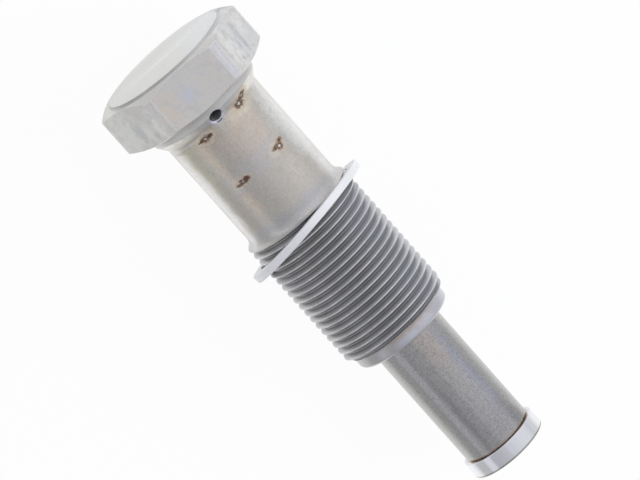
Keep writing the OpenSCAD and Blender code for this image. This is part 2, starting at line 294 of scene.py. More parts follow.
def head_finish():
    metal = Metal("head_steel")
    clouds = metal.noise(5, detail=4).ramp(0.35, 0.65)
    metal.colour = metal.mix(clouds, (0.83, 0.80, 0.755), (0.80, 0.79, 0.77))
    drift = metal.noise(1.4, detail=5)
    soft = (drift - 0.5) * 1.5
    metal.patches(HEAD_PATCHES, soft, 1.4, 0.2)
    metal.paint(drift.ramp(0.5, 0.64) * 0.55, (0.725, 0.735, 0.74))
    collar = metal.x.ramp(-0.05, 0.05)
    to_right = metal.y.ramp(-4, 4)
    # Across the collar the grey is painted darkest just left of the middle and lighter towards +Y, painted
    # shade and light, under its real turning lines.
    collar_turning_and_shade = metal.mix(metal.y.ramp(-1.5, 2.5), (0.63, 0.625, 0.60), (0.70, 0.695, 0.67))
    collar_turning_and_shade = metal.mix(metal.y.ramp(2.5, 8), collar_turning_and_shade, (0.745, 0.745, 0.74))
    collar_turning_and_shade = metal.mix(metal.y.ramp(-3, -8), collar_turning_and_shade, (0.71, 0.705, 0.675))
    lines = metal.noise(0.3, (1, 50, 50), detail=3)
    collar_turning_and_shade = metal.mix(lines.ramp(0.5, 0.62) * 0.5, collar_turning_and_shade, (0.56, 0.555, 0.53))
    collar_turning_and_shade = metal.mix(lines.ramp(0.46, 0.36) * 0.6, collar_turning_and_shade, (0.84, 0.83, 0.80))
    metal.paint(collar, collar_turning_and_shade)
    lit_edge = collar * metal.x.ramp(0.5, 1.5) * metal.y.ramp(0.5, -3)
    metal.paint(lit_edge * 0.9, (0.78, 0.77, 0.74))
    ragged = (metal.noise(0.9, (1.3, 1, 1), detail=4) - 0.5) * 2.4
    metal.patches(SMUDGES, ragged, 1.35, 0.3)
    scratches = metal.noise(0.3, (6, 1, 1), detail=4)
    nicks = metal.noise(0.5, detail=4).ramp(0.54, 0.66)
    on_corner = metal.radius.ramp(CORNER_FROM, CORNER_FROM + 0.12)
    rubbed = on_corner * metal.radius.ramp(CORNER_FROM + 0.2, CORNER_FROM + 0.12) * nicks.ramp(1.0, 0.2)
    corner = metal.mix(to_right, (0.88, 0.855, 0.82), (0.88, 0.88, 0.92))
    metal.paint(on_corner * 0.55, corner)
    scored = metal.mix(to_right, (0.96, 0.935, 0.895), (0.97, 0.97, 1.0))
    metal.paint(on_corner * scratches.ramp(0.48, 0.66) * 0.7, scored)
    metal.paint(on_corner * to_right * nicks * 0.35, (0.66, 0.67, 0.74))
    # The rubbed spots are painted brighter towards +Y, a painted highlight on the lit side over real wear.
    metal.paint(rubbed * (0.25 + 0.5 * to_right), (0.99, 0.99, 1.0))
    speckle = metal.noise(0.4, detail=4, rough=0.65)
    metal.paint(speckle.ramp(0.5, 0.7) * 0.4, (0.69, 0.69, 0.68))
    # The crown's step and the ring round its foot are painted dark, more on the -Y side and the ring only
    # on its upper half: painted shade.
    by_crown = metal.x.ramp(CROWN_X + 0.8, CROWN_X + 0.6)
    step = by_crown * metal.x.ramp(CROWN_X + 0.05, CROWN_X + 0.12) * metal.radius.ramp(12.5, 12.3)
    painted_crown_foot_shade = metal.mix(metal.y.ramp(1, 8), (0.60, 0.60, 0.585), (0.74, 0.745, 0.76))
    metal.paint(step * 0.9, painted_crown_foot_shade)
    ledge = by_crown * metal.radius.ramp(12.3, 12.5) * metal.radius.ramp(13.3, 13.1)
    ledge = ledge * metal.z.ramp(2, 8)
    painted_crown_foot_shade = metal.mix(metal.y.ramp(1, 8), (0.47, 0.47, 0.46), (0.66, 0.67, 0.69))
    metal.paint(ledge * 0.9, painted_crown_foot_shade)
    crown = metal.x.ramp(CROWN_X + 0.1, CROWN_X + 0.02)
    # The crown's face is painted lighter and bluer towards +Y, with a painted highlight strip across its
    # middle and painted shade on its lower part, over real noise and turning rings.
    crown_wear_and_painted_light = metal.mix(metal.y.ramp(0, 9), (0.85, 0.855, 0.825), (0.88, 0.895, 0.915))
    crown_wear_and_painted_light = metal.mix(metal.noise(0.7, detail=4).ramp(0.45, 0.65) * 0.5, crown_wear_and_painted_light, (0.78, 0.785, 0.775))
    crown_wear_and_painted_light = metal.mix(metal.rings(0.5).ramp(0.5, 0.65) * 0.3, crown_wear_and_painted_light, (0.94, 0.945, 0.93))
    painted_crown_highlight = metal.far_from((CROWN_X, -0.5, -0.6), (2, 8.0, 1.6)).ramp(1.1, 0.3)
    crown_wear_and_painted_light = metal.mix(painted_crown_highlight * 0.6, crown_wear_and_painted_light, (0.95, 0.955, 0.935))
    crown_wear_and_painted_light = metal.mix(metal.z.ramp(-2, -7) * 0.7, crown_wear_and_painted_light, (0.79, 0.795, 0.78))
    metal.paint(crown * 0.9, crown_wear_and_painted_light)
    relief = 0.5 * speckle + 0.4 * scratches + metal.rings(0.16) * crown * 1.6 + lines * collar * 3
    return metal.feed(0.36 + 0.14 * speckle + 0.05 * clouds, relief, 0.004)


head_steel = head_finish()

# %% [markdown]
# ## Steel of the shank
# Heat has tinted the shank: pink and straw near the head, lavender round the oil hole and in a band across
# the middle, grey beyond it. The pale bands along both sides are painted highlights, and the light and
# dark rows by the neck are painted reflections. The lavender rim of the oil hole is partly a painted
# highlight, and a line on its far side and the hole itself are painted dark as painted shade. At four
# places a spark has left burnt spots with a bright middle in a cream halo. A texture could hold all that,
# but each tint and spot has a place, a size and a slant, so small functions draw it from its distance.
# Their edges are made ragged by noise.

# %% Finish of the shank
SHANK_RADIUS = 9.7
OIL_HOLE_X = 2.5
OIL_HOLE_RADIUS = 1.15
# angle from straight up, place along the axis, half length along and round the axis, colour, strength
TINTS_AND_PAINTED_SHEEN = [
    (0, 20.0, 5.5, 30, (0.61, 0.581, 0.532), 0.9),
    (14, 8.4, 4.2, 6.5, (0.685, 0.591, 0.508), 0.75),
    (30, 19.0, 3.0, 2.6, (0.69, 0.62, 0.55), 0.65),
    (-33, 8.0, 5.5, 1.4, (0.73, 0.625, 0.494), 0.75),
    (-31, 19.0, 2.8, 1.6, (0.73, 0.632, 0.515), 0.8),
    (27, 4.3, 1.9, 4.4, (0.79, 0.714, 0.58), 0.85),
    (-54, 9.0, 8.0, 3.0, (0.72, 0.69, 0.56), 0.8),
    (0, 13.4, 2.5, 9.0, (0.615, 0.597, 0.606), 0.6),
    (58, 12.5, 8.0, 3.0, (0.7, 0.699, 0.689), 0.7),
    (42, 10.0, 4.0, 1.4, (0.66, 0.66, 0.617), 0.6),
    (-30, 13.6, 1.1, 1.3, (0.7, 0.591, 0.522), 0.6),
    (3, 2.35, 0.95, 5.4, (0.545, 0.545, 0.535), 0.95),
    (-34, 2.3, 0.7, 2.0, (0.75, 0.735, 0.69), 0.85),
    (-15, 1.65, 0.28, 2.6, (0.74, 0.73, 0.70), 0.9),
    (49, 2.4, 0.9, 1.6, (0.86, 0.808, 0.694), 0.8),
    (22, 2.95, 0.3, 2.2, (0.56, 0.463, 0.314), 0.6),
    (-15, 3.1, 0.35, 1.2, (0.45, 0.364, 0.275), 0.5),
    (0, 24.6, 1.7, 40, (0.565, 0.557, 0.56), 1.0),
    # pale bands along both sides, painted highlights where the shank turns away
    (62, 13.5, 14, 3.6, (0.85, 0.845, 0.84), 0.85),
    (-72, 13.5, 14, 2.4, (0.92, 0.915, 0.90), 0.85),
    # light and dark rows by the neck, painted reflections of its curves
    (-54, 2.0, 0.42, 3.6, (0.93, 0.91, 0.86), 0.85),
    (-50, 3.3, 0.4, 4.0, (0.42, 0.40, 0.37), 0.75),
    (-52, 3.85, 0.25, 3.2, (0.84, 0.82, 0.76), 0.7),
    (-66, 4.5, 0.3, 2.0, (0.50, 0.48, 0.44), 0.6),
]
# angle from straight up, place along the axis, half length along and round the axis, slant in degrees,
# brightness of the middle
BURNT_SPOTS = [
    (27.0, 3.74, 0.72, 1.35, 4, 1.0),
    (34.0, 3.05, 0.56, 1.0, 18, 0.6),
    (-18.3, 4.40, 0.45, 0.60, 0, 0.0),
    (-23.8, 4.43, 0.55, 0.95, 0, 1.0),
    (-30.0, 4.50, 0.24, 0.60, 0, 0.0),
    (29.6, 13.96, 0.70, 0.78, 0, 1.0),
    (33.8, 13.25, 0.40, 0.65, 0, 0.0),
    (23.8, 13.75, 0.42, 0.55, 0, 0.0),
    (-18.5, 14.20, 0.46, 0.62, 0, 0.0),
    (-23.4, 14.28, 0.52, 0.95, 0, 0.6),
    (-29.8, 14.50, 0.27, 0.62, 0, 0.0),
]
# angle from straight up, place along the axis, half length along and round the axis, strength
HALOS = [
    (-23.5, 4.45, 1.25, 2.3, 0.9),
    (-24.5, 14.1, 1.3, 2.3, 0.5),
    (26.5, 13.9, 1.3, 2.2, 0.45),
]


def far_on_shank(metal, angle, x, half_x, half_round, slant=0):
    """Distance from a place on the shank, 1 on an ellipse of those half lengths."""
    along = metal.x - x
    round_axis = (metal.angle - math.radians(angle)) * SHANK_RADIUS
    tilt_sin, tilt_cos = math.sin(math.radians(slant)), math.cos(math.radians(slant))
    u = (along * tilt_cos + round_axis * tilt_sin) / half_x
    v = (round_axis * tilt_cos - along * tilt_sin) / half_round
    return (u * u + v * v) ** 0.5


def tints_and_painted_sheen(metal):
    """Paints the heat tints of the shank and its painted highlights and reflections, with soft ragged
    borders.
    """
    drift = metal.noise(2.6, (1.5, 1, 1), detail=3)
    metal.colour = metal.mix(drift.ramp(0.38, 0.62), (0.60, 0.535, 0.465), (0.625, 0.595, 0.545))
    ragged = (drift - 0.5) * 1.4
    for angle, x, half_x, half_round, tint, strength in TINTS_AND_PAINTED_SHEEN:
        share = (far_on_shank(metal, angle, x, half_x, half_round) + ragged).ramp(1.3, 0.35)
        metal.paint(share * strength, tint)
    mottle = metal.noise(0.9, detail=4, rough=0.6)
    metal.paint(mottle.ramp(0.5, 0.68) * 0.38, (0.52, 0.49, 0.455))


def burnt_spots(metal):
    """Paints cream halos and burnt spots, and gives where the steel is burnt."""
    ragged = metal.noise(0.5, detail=2) - 0.5
    loose = metal.noise(1.3, detail=4) - 0.5
    for *place, strength in HALOS:
        far = far_on_shank(metal, *place) + loose * 1.2
        metal.paint(far.ramp(1.15, 0.8) * strength, (0.76, 0.69, 0.565))
        outline = far.ramp(0.85, 1.0) * far.ramp(1.2, 1.05)
        metal.paint(outline * strength * 0.3, (0.52, 0.42, 0.28))
    nearest = None
    middle = None
    for *place, bright in BURNT_SPOTS:
        far = far_on_shank(metal, *place)
        nearest = far if nearest is None else far.math("SMOOTH_MIN", far, nearest, 0.5)
        if bright:
            core = (far + ragged * 0.9).ramp(0.44, 0.16) * bright
            middle = core if middle is None else middle + core
    nearest = nearest + ragged * 1.6
    metal.paint(nearest.ramp(2.3, 1.0) * 0.4, (0.62, 0.475, 0.35))
    burnt = nearest.ramp(1.3, 0.7)
    brown = metal.mix(nearest.ramp(0.3, 1.1), (0.05, 0.026, 0.016), (0.40, 0.215, 0.115))
    metal.paint(burnt * 0.95, brown)
    metal.paint(middle.clamped(), (0.84, 0.81, 0.785))
    return burnt


def round_the_hole(metal):
    """Paints the bluish rim of the oil hole, partly a painted highlight, a painted shade line on its far
    side and painted shade inside it, and gives what lies in the hole.
    """
    far = far_on_shank(metal, 0, OIL_HOLE_X, 0.82 * OIL_HOLE_RADIUS, 0.93 * OIL_HOLE_RADIUS)
    # The pale rim is partly a painted highlight on the countersink.
    metal.paint(far.ramp(1.9, 1.4) * 0.7, (0.60, 0.615, 0.68))
    metal.paint(far.ramp(1.4, 1.3), (0.70, 0.71, 0.785))
    # A dark line on the rim's far side is painted shade.
    beyond = (metal.x - OIL_HOLE_X - metal.y * metal.y).ramp(0.6, 0.8)
    painted_far_shade_line = far.ramp(1.04, 1.1) * far.ramp(1.34, 1.26) * beyond
    metal.paint(painted_far_shade_line, (0.09, 0.10, 0.12))
    # The hole itself is painted dark as painted shade.
    inside = metal.radius.ramp(9.6, 9.35)
    metal.paint(inside, (0.20, 0.22, 0.23))
    return inside


def shank_finish():
    metal = Metal("shank_steel", oil=0.3)
    tints_and_painted_sheen(metal)
    burnt = burnt_spots(metal)
    in_hole = round_the_hole(metal)
    speckle = metal.noise(0.42, detail=4, rough=0.65)
    on_top = metal.z.ramp(2.5, 7)
    metal.paint(speckle.ramp(0.5, 0.66) * 0.38 * on_top, (0.46, 0.435, 0.41))
    metal.paint(speckle.ramp(0.47, 0.33) * 0.34 * on_top, (0.76, 0.735, 0.71))
    scratches = metal.noise(0.16, (16, 1, 1), detail=3).ramp(0.62, 0.75)
    metal.paint(scratches * 0.3, (0.76, 0.74, 0.72))
    turned = metal.noise(0.2, (1, 40, 40), detail=3)
    by_collar = metal.x.ramp(5, 3)
    metal.paint(by_collar * turned.ramp(0.52, 0.66) * 0.3, (0.78, 0.765, 0.73))
    roughness = 0.27 + 0.08 * speckle + 0.3 * burnt
    metallic = 0.85 - 0.65 * in_hole
    metal.tree.links.new(metallic.socket, metal.shader.inputs["Metallic"])
    return metal.feed(roughness, 0.6 * turned + 0.5 * speckle + burnt * 3, 0.004)


shank_steel = shank_finish()

# %% [markdown]
# ## Steel of the thread and nose
# The thread is darker in its grooves, and its crests are painted bright, partly a painted highlight on
# rubbed steel. The radius tells crest from groove, and the place along the helix tells the lit flank from
# the shaded one, so the finish reads both. The plain nose below the thread is lavender, with brown and
# straw stains next to the last turn.

# %% Finishes of the thread and nose
THREAD_RADIUS = 10.875
PITCH = 1.5
FIRST_CREST = 24.3
NOSE_X = 52.8


def thread_finish():
    metal = Metal("thread_steel", metallic=0.75)
    film = metal.noise(3, detail=4).ramp(0.3, 0.7)
    groove_and_lit_flank = metal.mix(film, (0.365, 0.36, 0.345), (0.42, 0.42, 0.43))
    tooth = (metal.x - FIRST_CREST) / PITCH + metal.angle / (2 * math.pi)
    part = tooth.math("FRACT", tooth)
    # The flank that faces the light is painted lighter, a painted highlight.
    groove_and_lit_flank = metal.mix(part.ramp(0.5, 0.95) * 0.8, groove_and_lit_flank, (0.72, 0.72, 0.73))
    # The crests are painted bright, partly a painted highlight on rubbed steel.
    crest = metal.radius.ramp(THREAD_RADIUS - 0.25, THREAD_RADIUS - 0.02)
    grain = metal.noise(0.4, detail=4, rough=0.65)
    bright = metal.mix(grain.ramp(0.4, 0.65), (0.74, 0.74, 0.76), (0.58, 0.58, 0.59))
    metal.colour = metal.mix(crest, groove_and_lit_flank, bright)
    # Towards +Y the thread is painted lighter and bluer, painted light on the lit side.
    metal.paint(metal.y.ramp(1, 9) * 0.5, (0.66, 0.68, 0.73))
    shaded = part.ramp(0.06, 0.14) * part.ramp(0.62, 0.5) * metal.y.ramp(-7, 0)
    metal.paint(shaded * 0.65, (0.17, 0.17, 0.18))
    roughness = 0.36 - 0.1 * crest + 0.12 * grain
    return metal.feed(roughness, grain, 0.004)


def nose_finish():
    metal = Metal("nose_steel", metallic=0.85, oil=0.2)
    clouds = metal.noise(2.5, detail=4)
    warm_side = (metal.y / 6 + (clouds - 0.5) * 4).ramp(0.2, -1.2)
    metal.colour = metal.mix(warm_side, (0.585, 0.58, 0.635), (0.525, 0.51, 0.515))
    speckle = metal.noise(0.5, detail=4, rough=0.65)
    pale = metal.far_from((NOSE_X + 1.3, -0.6, 9.6), (0.8, 2.2, 3.0)).ramp(1.4, 0.4)
    metal.paint(pale * 0.45, (0.63, 0.66, 0.75))
    metal.paint(speckle.ramp(0.52, 0.68) * 0.35, (0.70, 0.71, 0.77))
    ragged = (metal.noise(0.9, (0.7, 1, 1), detail=5) - 0.5) * 1.8
    on_top = metal.far_from((NOSE_X + 0.2, 1.2, 9.6), (4, 5.0, 6)).ramp(1.3, 0.7)
    stain = (metal.x + ragged).ramp(NOSE_X + 0.75, NOSE_X + 0.1) * on_top
    metal.paint(stain * 0.75, (0.56, 0.46, 0.36))
    turned = metal.noise(0.12, (1, 40, 40), detail=2)
    return metal.feed(0.24 + 0.1 * turned, turned, 0.003)


thread_steel = thread_finish()
nose_steel = nose_finish()

# %% [markdown]
# ## Plunger, cap and washer
# The plunger is ground: grey with a fine brown speckle and a bluish patch. The cap is turned bright; its
# back is painted darker and browner as painted shade, and a dark band on its front rim is a painted
# reflection. The washer is soft aluminium with a dull skin and fine scratches along its rim, so it is less
# metallic than the steel. Speckle is fine noise, and turning marks are noise that hardly changes round the
# axis.

# %% Finishes of plunger, cap and washer
plunger_low, plunger_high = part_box("plunger")
cap_low, cap_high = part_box("thrust_cap")
PLUNGER_END = plunger_high.x / MM
CAP_END = cap_high.x / MM
CAP_HEIGHT = 3.15
# middle and half sizes of a patch in mm, colour, strength
PLUNGER_PATCHES = [
    ((58.6, 1.3, 6.7), (6.6, 2.2, 4.0), (0.525, 0.475, 0.432), 0.8),
    ((67.5, 3.8, 5.5), (13.5, 1.0, 2.0), (0.435, 0.45, 0.52), 0.8),
    ((66.0, 5.6, 3.4), (15.0, 0.8, 2.4), (0.42, 0.435, 0.43), 0.7),
    ((73.0, -2.5, 6.2), (7.0, 0.6, 2.0), (0.37, 0.37, 0.38), 0.7),
    ((66.0, -6.0, 2.6), (15.0, 0.9, 3.0), (0.47, 0.475, 0.45), 0.7),
    ((77.0, 2.5, 6.0), (3.0, 3.0, 3.0), (0.43, 0.42, 0.43), 0.7),
    ((78.5, 4.9, 4.4), (4.5, 1.6, 2.4), (0.34, 0.345, 0.355), 0.8),
]


def plunger_finish():
    metal = Metal("plunger_steel", oil=0.2)
    bands = metal.noise(1.3, (40, 1, 1), detail=3)
    metal.colour = metal.mix(bands.ramp(0.35, 0.65), (0.455, 0.45, 0.455), (0.505, 0.50, 0.50))
    soft = (metal.noise(1.6, (2, 1, 1), detail=5) - 0.5) * 2.2
    metal.patches(PLUNGER_PATCHES, soft, 1.4, 0.3)
    speckle = metal.noise(0.34, detail=4, rough=0.75)
    on_top = 0.3 + 0.7 * metal.z.ramp(1.5, 4.5)
    metal.paint(speckle.ramp(0.5, 0.64) * 0.7 * on_top, (0.33, 0.30, 0.27))
    metal.paint(speckle.ramp(0.47, 0.34) * 0.6 * on_top, (0.64, 0.64, 0.67))
    browned = metal.x.ramp(PLUNGER_END - 0.4, PLUNGER_END - 0.1)
    metal.paint(browned * 0.9, (0.61, 0.51, 0.45))
    turned = metal.noise(0.2, (1, 40, 40), detail=3)
    metal.paint(turned.ramp(0.6, 0.72) * 0.2, (0.66, 0.65, 0.64))
    return metal.feed(0.2 + 0.1 * speckle, 0.7 * turned + 0.6 * speckle, 0.003)


def cap_finish():
    metal = Metal("cap_steel")
    bands = metal.noise(1.2, (60, 1, 1), detail=2).ramp(0.3, 0.7)
    metal.colour = metal.mix(bands, (0.88, 0.885, 0.92), (0.92, 0.925, 0.955))
    # The back face is painted darker, and browner near the groove, as painted shade.
    painted_back_shade = metal.x.ramp(CAP_END - CAP_HEIGHT + 0.1, CAP_END - CAP_HEIGHT + 0.02)
    inner = metal.radius.ramp(7.05, 6.8)
    metal.paint(painted_back_shade * 0.5, (0.66, 0.67, 0.72))
    metal.paint(painted_back_shade * inner * 0.8, (0.54, 0.495, 0.435))
    # A dark band round the front rim is a painted reflection.
    dark_rim_reflection = metal.x.ramp(CAP_END - 0.5, CAP_END - 0.22)
    metal.paint(dark_rim_reflection * 0.85, (0.36, 0.35, 0.30))
    face = metal.x.ramp(CAP_END - 0.08, CAP_END - 0.02) * metal.radius.ramp(6.95, 6.6)
    ground = metal.rings(0.35)
    ringed = metal.mix(ground.ramp(0.35, 0.65), (0.66, 0.66, 0.68), (0.78, 0.78, 0.80))
    metal.paint(face, ringed)
    ragged = (metal.noise(1.2, detail=4) - 0.5) * 1.6
    rubbed = (metal.far_from((CAP_END, 0, 0), (2, 2.2, 5.0)) + ragged).ramp(1.3, 0.4) * face
    metal.paint(rubbed * 0.6, (0.88, 0.88, 0.90))
    turned = metal.noise(0.12, (1, 40, 40), detail=3)
    relief = turned * (1 - face) + ground * face
    return metal.feed(0.12 + 0.08 * turned + 0.12 * face - 0.08 * rubbed, relief, 0.002)


def washer_finish():
    metal = Metal("washer_aluminium", metallic=0.7)
    scratches = metal.noise(0.2, (1, 10, 10), detail=4)
    clouds = metal.noise(4, detail=3).ramp(0.35, 0.65)
    metal.colour = metal.mix(clouds, (0.96, 0.965, 0.99), (0.98, 0.985, 1.0))
    metal.paint(scratches.ramp(0.54, 0.68) * 0.4, (0.80, 0.81, 0.86))
    return metal.feed(0.52 + 0.1 * scratches, scratches, 0.005)


plunger_steel = plunger_finish()
cap_steel = cap_finish()
washer_aluminium = washer_finish()

# %% [markdown]
# ## Pieces that stay inside
# The bore, the coil springs and the check valve are hidden until the tensioner is cut open or taken
# apart, but they still get a true finish: oily dark bore, drawn wire, ground seat, polished ball and
# yellow passivated sheet. They differ only in a few numbers, so one function makes them all.

# %% Finishes of the inner pieces
def inner_finish(name, dark, light, size, stretch, rough):
    metal = Metal(name)
    lines = metal.noise(size, stretch, detail=3)
    metal.colour = metal.mix(lines.ramp(0.3, 0.7), dark, light)
    return metal.feed(rough + 0.15 * lines, lines, 0.003)


bore_steel = inner_finish("bore_steel", (0.20, 0.20, 0.21), (0.28, 0.28, 0.29), 0.2, (1, 30, 30), 0.35)
wire_steel = inner_finish("wire_steel", (0.36, 0.36, 0.38), (0.46, 0.46, 0.48), 0.15, (4, 4, 4), 0.3)
seat_steel = inner_finish("seat_steel", (0.54, 0.54, 0.56), (0.62, 0.62, 0.64), 0.15, (1, 30, 30), 0.25)
ball_steel = inner_finish("ball_steel", (0.84, 0.85, 0.87), (0.88, 0.89, 0.91), 0.6, (1, 1, 1), 0.05)
cage_sheet = inner_finish("cage_sheet", (0.60, 0.56, 0.46), (0.70, 0.66, 0.56), 1.2, (1, 1, 1), 0.3)

# %% [markdown]
# ## Skins round an axis
# Almost everything here is round, so a piece is a list of rows from one end to the other, and each row is
# a ring of points with a place along the axis and a radius. A hexagon fits the same scheme if the radius
# of its row changes with the angle. Rows at radius 0 close to a point when doubles are merged.

# %% Make a mesh from rows of points
COLUMNS = 144
MERGE = 1e-6
BEVEL_FROM = math.radians(16)
SHARP_FROM = math.radians(32)
column_angles = 2 * math.pi * np.arange(COLUMNS) / COLUMNS


def skin(name, rows, closed=False):
    """A mesh of quads between rows, each (x, radius) as numbers or as one value per column."""
    points = []
    for x, radius in rows:
        ring = np.zeros((COLUMNS, 3))
        ring[:, 0] = x
        ring[:, 1] = radius * np.sin(column_angles)
        ring[:, 2] = radius * np.cos(column_angles)
        points.append(ring * MM)
    count = len(rows)
    faces = []
    for row in range(count if closed else count - 1):
        below = row * COLUMNS
        above = (row + 1) % count * COLUMNS
        for column in range(COLUMNS):
            beside = (column + 1) % COLUMNS
            faces.append((below + column, below + beside, above + beside, above + column))
    mesh = bpy.data.meshes.new(name)
    mesh.from_pydata(np.concatenate(points).tolist(), [], faces)
    merge_doubles(mesh)
    return mesh


def merge_doubles(mesh):
    """Welds points that coincide and turns all faces outwards."""
    work = bmesh.new()
    work.from_mesh(mesh)
    bmesh.ops.remove_doubles(work, verts=work.verts, dist=MERGE)
    bmesh.ops.recalc_face_normals(work, faces=work.faces)
    work.to_mesh(mesh)
    work.free()


def arc_rows(centre_x, centre_radius, size, start, end, steps=6):
    """Rows along an arc; the angle is 0 away from the axis and 90 towards the tip."""
    rows = []
    for step in range(steps + 1):
        a = math.radians(start + (end - start) * step / steps)
        rows.append((centre_x + size * math.sin(a), centre_radius + size * math.cos(a)))
    return rows


def as_object(mesh):
    made = bpy.data.objects.new(mesh.name, mesh)
    bpy.context.scene.collection.objects.link(made)
    return made


def applied(made):
    """The object with its modifiers turned into a plain mesh."""
    bpy.context.view_layer.update()
    graph = bpy.context.evaluated_depsgraph_get()
    mesh = bpy.data.meshes.new_from_object(made.evaluated_get(graph), depsgraph=graph)
    made.modifiers.clear()
    made.data = mesh
    return made


def broken_edges(mesh, width):
    """The mesh with its sharp edges rounded, as a file or a tumbling barrel leaves them."""
    made = as_object(mesh)
    bevel = made.modifiers.new("broken edges", "BEVEL")
    bevel.width = width * MM
    bevel.segments = 2
    bevel.limit_method = "ANGLE"
    bevel.angle_limit = BEVEL_FROM
    bevel.use_clamp_overlap = True
    return applied(made)


def smooth(made):
    """Smooth shading, with creases kept and broad faces left flat."""
    made.data.shade_smooth()
    made.data.set_sharp_from_angle(angle=SHARP_FROM)
    weighted = made.modifiers.new("flat faces", "WEIGHTED_NORMAL")
    weighted.keep_sharp = True
    return applied(made)


print("skins:", COLUMNS, "columns round the axis")

# %% [markdown]
# ## The housing without its thread
# The housing is turned from one hexagon bar and bored from the nose. We could copy the CAD mesh, but its
# edges are razor sharp, and light needs a small round on every edge to show it. So the outline is written
# again as rows, with a gap where the thread goes.

# %% Rows of the housing
FLAT = housing_high.z / MM
CORNER = housing_high.y / MM
MOUTH = housing_high.x / MM
CROWN_HEIGHT = 0.35
CROWN_RADIUS = 12.1
CHAMFER_START = 13.2
OUTER_SLOPE = math.tan(math.radians(28))
SEAT_SLOPE = math.tan(math.radians(22))
CROWN_GROOVE = 0.15
COLLAR_RADIUS = 11.0
COLLAR_END = 1.65
NECK_END = 3.5
FLARE_X = 24.2
THREAD_X = 26.0
FLARE_STEP = 0.2
NOSE_RADIUS = 9.65
NOSE_ROUND = 0.7
GUIDE_RADIUS = 6.75
MOUTH_CHAMFER = 0.4
GUIDE_X = 36.35
RELIEF_RADIUS = 7.35
VALVE_X = 11.3
RESERVOIR_RADIUS = 5.0
RESERVOIR_X = -3.35
DRILL_DEPTH = RESERVOIR_RADIUS / math.tan(math.radians(59))

to_flat = (column_angles + math.pi / 6) % (math.pi / 3) - math.pi / 6
hexagon = np.minimum(FLAT / np.cos(to_flat), CORNER)
past_chamfer = hexagon - CHAMFER_START
head_top = CROWN_X + CROWN_HEIGHT
flare_rise = THREAD_RADIUS - FLARE_STEP - SHANK_RADIUS
flare_turn = 2 * math.atan(flare_rise / (THREAD_X - FLARE_X))
flare_size = (THREAD_X - FLARE_X) / math.sin(flare_turn)

head_rows = [
    (CROWN_X, 0),
    (CROWN_X, CROWN_RADIUS / 2),
    (CROWN_X, CROWN_RADIUS),
    (head_top, CROWN_RADIUS),
    (head_top + CROWN_GROOVE, CROWN_RADIUS + CROWN_GROOVE),
    (head_top + CROWN_GROOVE, CROWN_RADIUS + 2 * CROWN_GROOVE),
    (head_top, CROWN_RADIUS + 3 * CROWN_GROOVE),
    (head_top, CHAMFER_START),
    (head_top + past_chamfer * OUTER_SLOPE, hexagon),
    (-past_chamfer * SEAT_SLOPE, hexagon),
    (0, CHAMFER_START),
    (0, COLLAR_RADIUS),
    (COLLAR_END, COLLAR_RADIUS),
]
neck_x = np.linspace(COLLAR_END, NECK_END, 5)[1:]
neck_radius = np.linspace(COLLAR_RADIUS, SHANK_RADIUS, 5)[1:]
head_rows += zip(neck_x, neck_radius)
head_rows += [(x, SHANK_RADIUS) for x in np.linspace(NECK_END, FLARE_X, 8)[1:-1]]
flare_centre = SHANK_RADIUS + flare_size
head_rows += [
    (x, 2 * flare_centre - radius)
    for x, radius in arc_rows(FLARE_X, flare_centre, flare_size, 0, math.degrees(flare_turn), 8)
]
nose_rows = [(NOSE_X, NOSE_RADIUS)]
nose_rows += arc_rows(MOUTH - NOSE_ROUND, NOSE_RADIUS - NOSE_ROUND, NOSE_ROUND, 0, 90)
nose_rows += [
    (MOUTH, GUIDE_RADIUS + MOUTH_CHAMFER),
    (MOUTH - MOUTH_CHAMFER, GUIDE_RADIUS),
    (GUIDE_X, GUIDE_RADIUS),
    (GUIDE_X, RELIEF_RADIUS),
    (VALVE_X, RELIEF_RADIUS),
    (VALVE_X, RESERVOIR_RADIUS),
    (RESERVOIR_X, RESERVOIR_RADIUS),
    (RESERVOIR_X - DRILL_DEPTH, 0),
]
EDGE_ROUND = 0.13
head_part = broken_edges(skin("head_part", head_rows), EDGE_ROUND)
nose_part = broken_edges(skin("nose_part", nose_rows), EDGE_ROUND)
print("housing rows:", len(head_rows), "on the head and shank,", len(nose_rows), "on nose and bore")

# %% [markdown]
# ## The thread
# A thread follows a rule: the outline of one tooth, carried round the axis while it moves along by one
# pitch a turn. That is work for Geometry Nodes. A flat grid is wrapped round the axis so that its rows
# run along the helix; each row then keeps one height of the tooth, and the crests are clean edges. Rows
# that would run past the ends of the thread are held there, and merging the doubles leaves a clean rim.

# %% Build the thread's node tree
THREAD_SIZES = {
    "Start": THREAD_X * MM,
    "End": NOSE_X * MM,
    "Pitch": PITCH * MM,
    "Outer Radius": THREAD_RADIUS * MM,
    "Depth": 0.92 * MM,
    "Nose Radius": NOSE_RADIUS * MM,
    "First Crest": FIRST_CREST * MM,
    "Start Radius": (THREAD_RADIUS - FLARE_STEP) * MM,
    "Lead In": 0.35 * MM,
    "End Slope": 1 / math.tan(math.radians(30)),
    "Half Crest": 0.0625,
    "Root From": 0.4375,
}
ROWS_PER_TURN = 16
TURNS_DRAWN = 20


def new_tree(name, sizes):
    """An empty Geometry Nodes tree with a float input per size, and those inputs as wires."""
    tree = bpy.data.node_groups.new(name, "GeometryNodeTree")
    tree.interface.new_socket("Geometry", in_out="OUTPUT", socket_type="NodeSocketGeometry")
    for size in sizes:
        tree.interface.new_socket(size, in_out="INPUT", socket_type="NodeSocketFloat")
    entry = tree.nodes.new("NodeGroupInput")
    return tree, {size: Wire(tree, entry.outputs[size]) for size in sizes}


